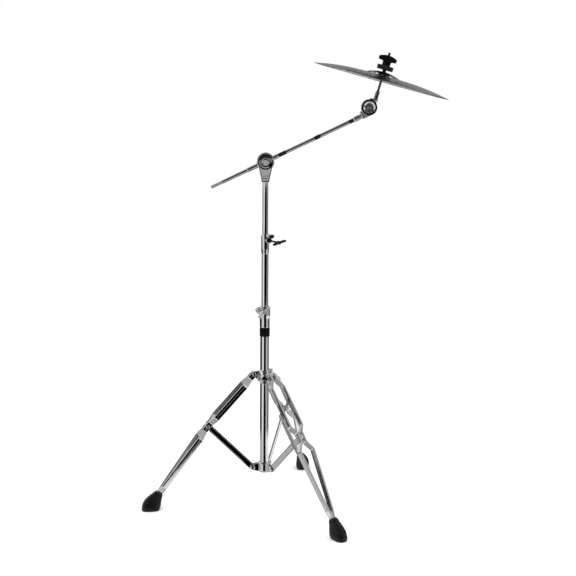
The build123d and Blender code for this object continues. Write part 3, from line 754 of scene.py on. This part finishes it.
def rail_end(ring, centre, direction):
    """The rings of a rail's half-round end, from its tip to the full section."""
    depth = Vector((-direction.z, 0, direction.x))
    rings = []
    for share in (1.0, 0.95, 0.82, 0.6, 0.35, 0.0):
        squeeze = 1 - max((1 - share * share) ** 0.5, 0.15)
        shift = direction * (RAIL_DEPTH / 2 * (1 - share))
        rings.append([p + shift - depth * ((p - centre).dot(depth) * squeeze) for p in ring])
    return rings


def brace(leg):
    """A formed strut with a shallow channel on both faces, an eye at the hub and a boss at the knee."""
    hub_r, hub_z = pivot(f"{leg}_brace_swing")
    knee_r, knee_z = knee_point(leg)
    length = hypot(knee_r - hub_r, knee_z - hub_z)
    lean = atan2(knee_z - hub_z, knee_r - hub_r)
    bar = capsule(length, BRACE_WIDTH / 2, -BRACE_HALF, BRACE_HALF)
    for face in [f for f in bar.faces if abs(f.normal.y) > 0.9]:
        bmesh.ops.inset_region(bar, faces=[face], thickness=2.8, depth=0)
        bmesh.ops.inset_region(bar, faces=[face], thickness=0.9, depth=-0.9)
    rims = [e for e in bar.edges if len(e.link_faces) == 2 and e.calc_face_angle(0) > radians(60)]
    bmesh.ops.bevel(bar, geom=rims, offset=0.7, segments=2, profile=0.5, affect="EDGES", clamp_overlap=True)
    boss = disc_y(9.3, -5.2, 5.2, length, 0, 0.9)
    eye = disc_y(7.4, -BRACE_HALF + 0.1, BRACE_HALF - 0.1, 0, 0, 0.5)
    shape = moved(joined(bar, boss, eye), at(hub_r, 0, hub_z) @ Matrix.Rotation(-lean, 4, "Y"))
    add(f"{leg}_brace", shape, leg_placement(leg))


BOOT_RIBS = 10
BOOT_RINGS_PER_RIB = 8
BOOT_AROUND = 80
BOOT_PARTS = (0.0, 0.35, 0.8, 1.0)  # collar, middle, lip and sole, as shares of the boot's height
BOOT_LEAN = (35.7, 18.0, 3.0, 0.0)
BOOT_HALF_LENGTH = (12.7, 24.6, 30.0, 28.6)
BOOT_HALF_WIDTH = (11.7, 17.6, 20.2, 18.6)
BOOT_GROOVE = 2.3
BOOT_RIBBED = (0.1, 0.8)  # where the ribs start and end, as shares of the height
SQUARENESS = 0.74  # the power that makes a boot's outline squarer than an ellipse


def squarer(value):
    return abs(value) ** SQUARENESS * (1 if value >= 0 else -1)


def boot(leg):
    """A ribbed rubber boot: a collar round the rails, a swelling body and a rounded flat sole."""
    place = leg_placement(leg)
    toe = span(f"{leg}_foot", place)[0]
    knee_r, knee_z = knee_point(leg)
    slope = radians(LOWER_LEG_SLOPE)
    top_x, top_z = knee_r + LOWER_LEG * cos(slope), knee_z - LOWER_LEG * sin(slope)
    sole_x = toe - 30.5
    columns = ((top_x, top_x + 18.5, sole_x - 2, sole_x), (top_z, top_z - 23.5, 13.0, 0.0),
               BOOT_LEAN, BOOT_HALF_LENGTH, BOOT_HALF_WIDTH)
    curves = [np.polyfit(BOOT_PARTS, values, 3) for values in columns]
    count = BOOT_RIBS * BOOT_RINGS_PER_RIB
    rings = []
    for k in range(count + 1):
        t = k / count
        x, z, lean, length, width = (float(np.polyval(curve, t)) for curve in curves)
        forward = Vector((cos(radians(lean)), 0, sin(radians(lean))))
        in_rib = abs((t * BOOT_RIBS) % 1.0 - 0.5)
        groove = BOOT_GROOVE * max(0.0, 1 - in_rib * 3.4) * (BOOT_RIBBED[0] < t < BOOT_RIBBED[1])
        foot = min(1.0, max(0.0, (t - 0.94) / 0.06))
        crown = max(0.0, (0.05 - t) / 0.05)
        tuck = 3.0 * (1 - (1 - foot * foot) ** 0.5) + 2.0 * crown * crown
        ring = []
        for i in range(BOOT_AROUND):
            ca, sa = cos(2 * pi * i / BOOT_AROUND), sin(2 * pi * i / BOOT_AROUND)
            cut = groove * min(1.0, max(0.0, ca + 0.75)) + tuck
            p = Vector((x, 0, z)) + forward * (length - cut) * squarer(ca)
            ring.append(Vector((p.x, (width - cut) * squarer(sa), max(p.z, 0.0))))
        rings.append(ring)
    add(f"{leg}_foot", skinned(rings, closed=False), place, 50)


def tripod():
    """Pins, and for each leg its two rails, knee rivet, brace and boot."""
    riveted_pins("hub_pins", "left_brace_swing", HUB_ARM_HALF)
    riveted_pins("collar_pins", "left_leg_swing", NECK_HALF + RAIL_WIDTH / 2 + 0.3)
    for leg in LEGS:
        place = leg_placement(leg)
        for name, side in (("a", 1), ("b", -1)):
            add(f"{leg}_leg_rail_{name}", leg_rail(leg, side), place)
        x, z = knee_point(leg)
        face = KNEE_HALF + RAIL_WIDTH / 2
        dome = turned([(0, 0), (6, 0, 0.2), (6, 1.0, 1.2), (3.6, 3.0, 2), (0, 3.2)], 48)
        heads = moved(dome, *[at(x, side * face, z) @ turn(-90 * side, "X") for side in (1, -1)])
        add(f"{leg}_knee_rivet", heads, place)
        brace(leg)
        boot(leg)


# boom tilter and boom
EAR_INNER = 9.9
YOKE_FOOT_HALF, YOKE_TOP_HALF = 12.0, 22.0
DRUM_R, DRUM_HALF, AXLE_R = 24.0, 9.2, 6.0
GRIP_DEPTH = 0.7
GRIP_GAP = 40.0


def boom_tilter():
    """Yoke, pin, dished cover, black ring and the drum between the ears."""
    pivot_z = PIVOT.translation.z / MM
    low, high = extent("boom_yoke", COLUMN)
    bottom, depth, ear_r = low[2], high[1], high[0]
    crotch, shoulder = bottom + 19.5, pivot_z - 14
    foot, top = YOKE_FOOT_HALF, YOKE_TOP_HALF
    shapes = [prism([(-foot, bottom, 2), (foot, bottom, 2), (15.2, crotch), (-15.2, crotch)],
                    -depth, depth, 2.0)]
    for side in (1, -1):
        inner, outer = side * EAR_INNER, side * depth
        shapes.append(disc_y(ear_r, inner, outer, 0, pivot_z, 2.2))
        shapes.append(prism([(-13.6, bottom + 10), (13.6, bottom + 10), (top, shoulder, 5),
                             (-top, shoulder, 5)], inner, outer, 2.0))
    add("boom_yoke", fused(*shapes, voxel=0.8), COLUMN)
    _, base, top = span("yoke_pin", COLUMN)
    add("yoke_pin", disc_y(2.2, -depth - 0.1, -10, 0, (base + top) / 2, 0.5), COLUMN)

    r, base, top = span("boom_tilter_cap", PIVOT)
    dish = base + 0.9
    add_turned("boom_tilter_cap", PIVOT, (7, base), (r, base), (r, top - 0.6, 0.4), (r - 2.2, top, 0.8),
               (r - 6.5, dish, 4), (10, dish, 2), (8.5, top, 1), (7, top, 0.5))
    r, base, top = span("boom_tilter_ring", PIVOT)
    add_turned("boom_tilter_ring", PIVOT, (r - 4.3, base), (r, base, 0.3), (r, top - 1.4, 1.2),
               (r - 1.4, top, 1.0), (r - 3.2, top, 0.8), (r - 4.3, top - 1, 0.5))
    _, base, top = span("tilt_drum", PIVOT)
    r, half = DRUM_R, DRUM_HALF
    drum = turned([(0, -half), (r - 2, -half, 1), (r, -half + 2, 1), (r, half - 2, 1), (r - 2, half, 1),
                   (0, half)])
    stub = turned([(0, base), (AXLE_R - 0.4, base, 0.6), (AXLE_R, base + 1.5, 0.5), (AXLE_R, half),
                   (0, half)], 64)
    axle = threaded(AXLE_R, half, top, 1.5, 0.6)
    add("tilt_drum", joined(drum, stub, axle), PIVOT)


def boom_arm():
    """Sleeve, tube with sunk grip bands, knurled end and end collar."""
    bore, foot, tip = span("boom_tube", BOOM)
    loose = bore + RUNNING_FIT
    r, base, top = span("boom_sleeve", BOOM)
    add_turned("boom_sleeve", BOOM, (loose, base, 0.2), (r - 1, base, 0.4), (r, base + 1.5, 0.6),
               (r, top - 1.5, 0.6), (r - 1, top, 0.4), (loose, top, 0.2))
    bands = grip_spans()
    deep = bore - GRIP_DEPTH
    profile = [(0, foot), (bore, foot, 0.4)]
    rings = []
    for start, end in bands:
        profile += [(bore, start), (deep, start), (deep, end), (bore, end)]
        rings.append(grip_band(start, end, bore, deep + 0.02))
    add_turned("boom_tube", BOOM, *profile, (bore, tip, 0.3), (0, tip))
    add("boom_grip_bands", joined(*rings), BOOM)
    r, base = 5.0, span("boom_rear_end", BOOM)[1]
    neck = r - 0.7
    add_turned("boom_rear_end", BOOM, (0, base), (r - 1, base, 0.4), (r, base + 1.2, 0.4),
               (r, foot - 2.5, 0.2), (neck, foot - 2, 0.2), (neck, foot - 0.6, 0.2), (r, foot, 0.1),
               (r, foot + 2), (0, foot + 2))
    r, base, top = span("boom_end_collar", BOOM)
    neck = r - 0.7
    add_turned("boom_end_collar", BOOM, (bore, base, 0.3), (r - 1.2, base, 0.5), (r, base + 2, 0.8),
               (r, top - 7, 0.3), (neck, top - 6.4, 0.2), (neck, top - 4.8, 0.2), (r, top - 4.2, 0.3),
               (r, top, 0.4), (bore, top))


def grip_spans():
    """Where the grip bands lie along the boom, read from the CAD bands."""
    heights = np.sort(local_points("boom_grip_bands", BOOM)[:, 2])
    gaps = np.where(np.diff(heights) > GRIP_GAP)[0]
    starts = [0, *(gaps + 1)]
    ends = [*gaps, len(heights) - 1]
    return [(heights[a], heights[b]) for a, b in zip(starts, ends)]


def grip_band(start, end, radius, inner):
    """A band of rounded ridges, flush with the tube."""
    count = max(3, int((end - start) / 2.6))
    step = (end - start) / count
    valley = radius - 0.28
    outline = [(inner, start)]
    for k in range(count):
        z, after = start + k * step, start + (k + 1) * step
        outline += [(valley, z + 0.1), (radius, z + 0.55, 0.2), (radius, after - 0.55, 0.2),
                    (valley, after - 0.1)]
    return turned(outline + [(inner, end)])


# cymbal tilter
TILTER_DISC_R, TILTER_HALF, ARM_HALF = 24.3, 17.0, 12.4
TILTER_SPLIT, TILTER_TEETH = 0.3, 48


def tilter():
    """Two toothed castings, the black ring, the hex bolt and the rod's socket."""
    disc_r, depth, arm_y = TILTER_DISC_R, TILTER_HALF, ARM_HALF
    centre = TILTER.translation
    flat = placement(centre)
    back = unit_mm(flat).inverted()
    on_boom = back @ unit_mm(BOOM)
    on_rod = back @ unit_mm(ROD)
    start = span("boom_end_collar", BOOM)[2]
    along = (centre - BOOM.translation).dot(BOOM_AXIS) / MM

    disc = disc_y(disc_r, -depth, -TILTER_SPLIT, edge=1.5)
    arm = moved(block(-15.2, 9.8, -arm_y, 0.0, start, along, 3, 2.5), on_boom)
    neck = moved(block(-15.2, 9.8, -arm_y, arm_y, start, along - disc_r - 1.6, 3, 2.5), on_boom)
    teeth = tooth_ring(disc_r - 1.0, -0.9, -0.15)
    add("tilter_lower_casting", joined(fused(disc, arm, neck), teeth), flat)

    face = 28.5
    disc = disc_y(disc_r, TILTER_SPLIT, depth, edge=1.5)
    arm = moved(block(-17.7, 6.8, 0.0, arm_y, 0, face, 3, 2.5), on_rod)
    neck = moved(block(-17.7, 6.8, -arm_y, arm_y, 26.0, face, 1.0, 1.0), on_rod)
    socket = moved(rod_shape(8.6, 20, face + 1.5, 1.2, 64), on_rod)
    teeth = tooth_ring(disc_r - 1.0, 0.15, 0.9)
    add("tilter_upper_casting", joined(fused(disc, arm, neck, socket), teeth), flat)

    r, base, top = span("tilter_ring", TILTER)
    add_turned("tilter_ring", TILTER, (r - 5, base), (r, base, 0.4), (r, top - 1.2, 1.0),
               (r - 1.2, top, 0.8), (r - 3.6, top, 0.8), (r - 5, top - 1.3, 0.6))
    _, base, top = span("tilter_bolt", TILTER)
    floor_z, crown = depth + 0.2, top - 1.2
    dish = turned([(4, depth - 1), (19.2, depth - 1), (19.2, depth + 1.9, 0.3), (18.2, depth + 2.1, 0.4),
                   (13.2, floor_z, 1.5), (8.6, floor_z, 0.5), (4, floor_z)])
    cap = turned([(0, crown), (5.2, crown, 0.2), (4.8, top - 0.4, 0.5), (0, top)], 48)
    add("tilter_bolt", joined(dish, hexagon(13, floor_z, crown), cap, threaded(4, base, depth)), TILTER)


def tooth_ring(radius, low, high):
    """Radial teeth between the two halves, seen as a serrated line round the joint."""
    inner, angle = radius - 5, 0.6 * 2 * pi / TILTER_TEETH
    tooth = prism([(inner, 0), (radius, 0), (radius * cos(angle), radius * sin(angle)),
                   (inner * cos(angle), inner * sin(angle))], low, high)
    return moved(tooth, *[turn(k * 360 / TILTER_TEETH, "Y") for k in range(TILTER_TEETH)])


# cymbal seat
ROD_R, ROD_FOOT_R, ROD_SHOULDER = 4.0, 6.25, 54.6


def cymbal_seat():
    """Threaded rod, cup washer, sleeve and felts."""
    bore = ROD_R + RUNNING_FIT
    _, base, top = span("cymbal_rod", ROD)
    thick = turned([(0, base), (ROD_FOOT_R, base, 0.3), (ROD_FOOT_R, ROD_SHOULDER - 1.2, 0.5),
                    (ROD_R + 0.6, ROD_SHOULDER, 0.3), (0, ROD_SHOULDER)], 64)
    tip = turned([(0, top - 1.6), (ROD_R - 0.4, top - 1.6), (ROD_R - 1.2, top, 0.3), (0, top)], 40)
    add("cymbal_rod", joined(thick, threaded(ROD_R, ROD_SHOULDER - 0.5, top - 1.4), tip), ROD)
    r, base, top = span("cup_washer", ROD)
    add_turned("cup_washer", ROD, (bore, base, 0.2), (7, base, 0.5), (8, base + 2, 1), (8, top - 3.4, 1.0),
               (r - 1.6, top - 2, 2.0), (r, top - 0.8, 0.5), (r, top, 0.4), (r - 1.2, top, 0.4),
               (r - 3, top - 0.9, 1), (bore, top - 0.9))
    r, base, top = span("cymbal_sleeve", ROD)
    add("cymbal_sleeve", pipe(r, bore, base, top, 0.5), ROD)
    r, base, top = span("lower_felt", SEAT)
    felt = turned([(7.0, base, 0.8), (r, base, 1.6), (r, top, 1.6), (7.0, top, 0.8)])
    add("lower_felt", fuzzy(felt), SEAT)
    r, base, top = span("top_felt", ROD)
    felt = turned([(9.2, base, 1), (r - 0.8, base, 1.8), (r - 0.1, base + 3, 2), (r, top - 4, 2),
                   (r - 0.6, top, 1.8), (9.2, top, 1)], 160)
    add("top_felt", fuzzy(felt), ROD)


def fuzzy(shape, depth=0.16):
    """Lets a felt's surface wander a little, inside its own outline."""
    rng = np.random.default_rng(7)
    shape.normal_update()
    bmesh.ops.subdivide_edges(shape, edges=shape.edges, cuts=1, use_grid_fill=True)
    shape.normal_update()
    for vert in shape.verts:
        vert.co -= vert.normal * depth * rng.random()
    return shape


WING_NUT_HALF, WING_NUT_NECK_R, WING_NUT_FLUTES = 29.6, 13.0, 10


def top_wing_nut():
    """Moulded nut: a fluted neck under two broad wings with an arched top."""
    _, base, top = span("top_wing_nut", ROD)
    foot = span("top_felt", ROD)[2]
    place = placement(ROD.translation, ROD.col[2].xyz, farthest_direction("top_wing_nut", ROD))
    half, r = WING_NUT_HALF, WING_NUT_NECK_R
    neck = turned([(0, foot), (r, foot, 0.8), (r, foot + 3, 0.6), (r - 1.6, foot + 5, 1.5),
                   (r - 2.6, top - 16, 4), (9, top - 2, 3), (0, top - 2)], 96)
    right = [(13, top - 1, 8), (half - 2.5, top - 5.5, 3), (half, top - 10, 4), (half - 2, top - 17.5, 4),
             (15, top - 18.5, 5), (9, top - 24, 5)]
    left = [(-x, z, radius) for x, z, radius in reversed(right)]
    blade = prism([(0, top + 0.6, 8), *right, *left], -5.6, 5.6, 2.4)
    rib = block(r - 2.4, r - 0.3, -1.1, 1.1, foot + 4, top - 15, 1, 0.6)
    step = 360 / WING_NUT_FLUTES
    flutes = moved(rib, *[turn(step * (k + 0.5), "Z") for k in range(WING_NUT_FLUTES)])
    head = fused(neck, blade, flutes, voxel=0.6, passes=4)
    add("top_wing_nut", joined(head, pipe(9.05, 4.2, base, foot + 1, 0.4)), place)


CYMBAL_BELL_R, CYMBAL_BELL_RISE, CYMBAL_GAUGE = 56.0, 12.5, 1.1
CYMBAL_HOLE_R, CYMBAL_BOW = 6.8, 4.9
LATHE_DEPTH, LATHE_TURNS = 0.05, 2.2


def cymbal():
    """A lathed plate: bell, bow and a thin rim, with a faint flange at the edge of the bell."""
    low, high = extent("cymbal", SEAT)
    edge_r = min(high[0], high[1]) - 0.05
    top_z, rim_z = high[2], low[2]
    junction = top_z - CYMBAL_BELL_RISE
    bell_curve = (CYMBAL_BELL_R ** 2 + CYMBAL_BELL_RISE ** 2) / (2 * CYMBAL_BELL_RISE)

    def surface(r):
        """Height of the upper face at a radius."""
        if r <= CYMBAL_BELL_R:
            return top_z - bell_curve + (bell_curve ** 2 - r * r) ** 0.5
        t = (r - CYMBAL_BELL_R) / (edge_r - CYMBAL_BELL_R)
        return junction + (rim_z + 0.45 * CYMBAL_GAUGE - junction) * t + CYMBAL_BOW * 4 * t * (1 - t)

    radii = [*np.linspace(CYMBAL_HOLE_R, CYMBAL_BELL_R, 40), *np.linspace(CYMBAL_BELL_R + 1, edge_r, 110)]
    upper = [(r, surface(r) + LATHE_DEPTH * sin(r * LATHE_TURNS) * (r > 8)) for r in radii]
    lower = []
    for r in reversed(radii):
        thin = CYMBAL_GAUGE * (1 - 0.45 * (r / edge_r) ** 2)
        lower.append((r, max(surface(r) - thin, rim_z)))
    add("cymbal", turned(upper + lower, 240), SEAT, 50)


# ---------------------------------------------------------------- studio
def zone_value(tree, azimuth, stops):
    """Brightness round the horizon, from stops of (degrees from the front, value)."""
    zones = add_node(tree, "ShaderNodeValToRGB", {"Fac": ramp(tree, azimuth, -pi, pi, 0, 1)})
    bands = zones.color_ramp
    bands.interpolation = "LINEAR"
    while len(bands.elements) < len(stops):
        bands.elements.new(0.5)
    for element, (angle, value) in zip(bands.elements, stops):
        element.position = (angle + 180) / 360
        element.color = (value, value, value, 1)
    return zones.outputs["Color"]


# What the chrome mirrors: brightness at degrees round from the front, in bands of height. A band's
# height is the sine of the elevation of the mirrored direction.
FLOOR_ZONES = [(-180, 0.7), (-150, 0.9), (-60, 1.2), (0, 1.05), (60, 1.0), (150, 0.8), (180, 0.7)]
FOOT_ZONES = [(-180, 0.5), (-60, 0.65), (-50, 0.85), (-24, 0.85), (-17, 0.0), (30, 0.0), (36, 0.9),
              (60, 1.1), (150, 1.1), (180, 0.9)]
LOW_ZONES = [(-180, 0.1), (-165, 0.02), (-74, 0.02), (-66, 0.95), (-24, 0.95), (-18, 0.0), (32, 0.0),
             (38, 0.6), (80, 0.65), (88, 0.02), (126, 0.02), (132, 1.1), (142, 1.1), (148, 0.02),
             (165, 0.02), (180, 0.1)]
MIDDLE_ZONES = [(-180, 0.12), (-150, 0.2), (-80, 0.3), (-72, 1.0), (-28, 1.0), (-22, 0.0), (50, 0.0),
                (56, 0.3), (120, 0.3), (150, 0.2), (180, 0.12)]
FACE_ZONES = [(-180, 0.15), (-140, 0.3), (-90, 0.9), (-40, 0.8), (0, 0.6), (40, 0.5), (100, 0.5),
              (140, 0.2), (180, 0.15)]
HIGH_ZONES = [(-180, 0.3), (-170, 0.8), (-120, 0.9), (-80, 1.1), (-38, 1.1), (-28, 0.05), (26, 0.05),
              (36, 1.0), (110, 0.75), (150, 0.4), (180, 0.3)]
RIM_ZONES = [(-180, 0.02), (-170, 0.1), (-150, 0.9), (-75, 0.8), (-60, 0.05), (35, 0.05), (60, 0.6),
             (120, 0.6), (140, 0.02), (180, 0.02)]
TOP_ZONES = [(-180, 1.1), (-75, 0.8), (-60, 0.1), (35, 0.1), (60, 0.6), (120, 0.6), (150, 1.1), (180, 1.1)]
# Where each band fades in above the one before it.
BANDS = ((-0.487, -0.479, FOOT_ZONES), (-0.318, -0.308, LOW_ZONES), (-0.215, -0.2, MIDDLE_ZONES),
         (-0.104, -0.098, FACE_ZONES), (-0.06, -0.05, HIGH_ZONES), (0.3, 0.36, RIM_ZONES),
         (0.5, 0.56, TOP_ZONES))
WHITE = (1, 1, 1, 1)


def background(tree, colour, strength):
    return add_node(tree, "ShaderNodeBackground", {"Color": colour, "Strength": strength}).outputs[0]


def by_ray(tree, kind, others, these):
    """One shader for a kind of ray and another for all the others."""
    path = add_node(tree, "ShaderNodeLightPath").outputs
    return add_node(tree, "ShaderNodeMixShader", {0: path[kind], 1: others, 2: these}).outputs[0]


def studio_world():
    """Even pale surroundings, with bright and dark panels all round that only reflections see."""
    world = bpy.data.worlds.new("studio")
    world.use_nodes = True
    bpy.context.scene.world = world
    tree = world.node_tree
    tree.nodes.clear()
    direction = add_node(tree, "ShaderNodeTexCoord").outputs["Generated"]
    parts = add_node(tree, "ShaderNodeSeparateXYZ", {0: direction}).outputs
    azimuth = maths(tree, "ARCTAN2", parts[0], times(tree, parts[1], -1.0))
    rise = parts[2]
    look = zone_value(tree, azimuth, FLOOR_ZONES)
    for start, end, zones in BANDS:
        look = mixed(tree, ramp(tree, rise, start, end, 0, 1), look, zone_value(tree, azimuth, zones))
    overhead = ramp(tree, rise, 0.84, 0.97, 1.0, 0.1)
    underneath = ramp(tree, rise, -0.7, -0.58, 0.4, 1.0)
    scaled = add_node(tree, "ShaderNodeVectorMath", {0: look, "Scale": times(tree, overhead, underneath)},
                      operation="SCALE").outputs[0]
    lit = by_ray(tree, "Is Glossy Ray", background(tree, WHITE, 1.1), background(tree, scaled, 1.0))
    seen = by_ray(tree, "Is Camera Ray", lit, background(tree, WHITE, 1.0))
    add_node(tree, "ShaderNodeOutputWorld", {"Surface": seen})


FLOOR_HALF = 40.0


def floor():
    """A plain pale floor that runs out of sight."""
    shape = bmesh.new()
    bmesh.ops.create_grid(shape, x_segments=1, y_segments=1, size=FLOOR_HALF)
    mesh = bpy.data.meshes.new("floor")
    shape.to_mesh(mesh)
    material, tree, shader, where = new_material("pale_floor")
    tint(tree, shader, noise(tree, where, 3.0, 2.0), grey(0.93), grey(0.95))
    fixed(shader, {"Roughness": 0.9, "Specular IOR Level": 0.1})
    mesh.materials.append(material)
    obj = new_object("floor", mesh)
    obj.visible_glossy = False


def soft_light(name, where, aim, size, power):
    """A disc lamp that shines but doesn't show in reflections."""
    light = bpy.data.lights.new(name, "AREA")
    light.shape = "DISK"
    light.size = size
    light.energy = power
    lamp = new_object(name, light)
    lamp.matrix_world = placement(where, Vector(where) - Vector(aim))
    lamp.visible_glossy = False


def camera():
    """The camera stands level with the cymbal and looks slightly down at the whole stand."""
    distance, height, sideways = 3.578, 1.419, 0.0015
    pitch, yaw, roll = 10.96, 1.153, 0.50
    data = bpy.data.cameras.new("camera")
    data.sensor_width = 36.0
    data.lens = 71.49
    obj = new_object("camera", data)
    aim = turn(-yaw, "Z") @ turn(90 - pitch, "X") @ turn(roll, "Z")
    obj.matrix_world = at(sideways, -distance, height) @ aim
    bpy.context.scene.camera = obj


def studio():
    studio_world()
    floor()
    soft_light("key_light", (-1.6, -2.2, 3.2), (0, 0, 0.6), 2.2, 55)
    soft_light("fill_light", (2.4, -1.2, 2.6), (0, 0, 0.6), 2.0, 25)
    camera()
    bpy.context.scene.view_settings.view_transform = "Standard"


column_tubes()
lower_hub()
leg_collar()
clamps()
screws()
tripod()
boom_tilter()
boom_arm()
tilter()
cymbal_seat()
top_wing_nut()
cymbal()
studio()
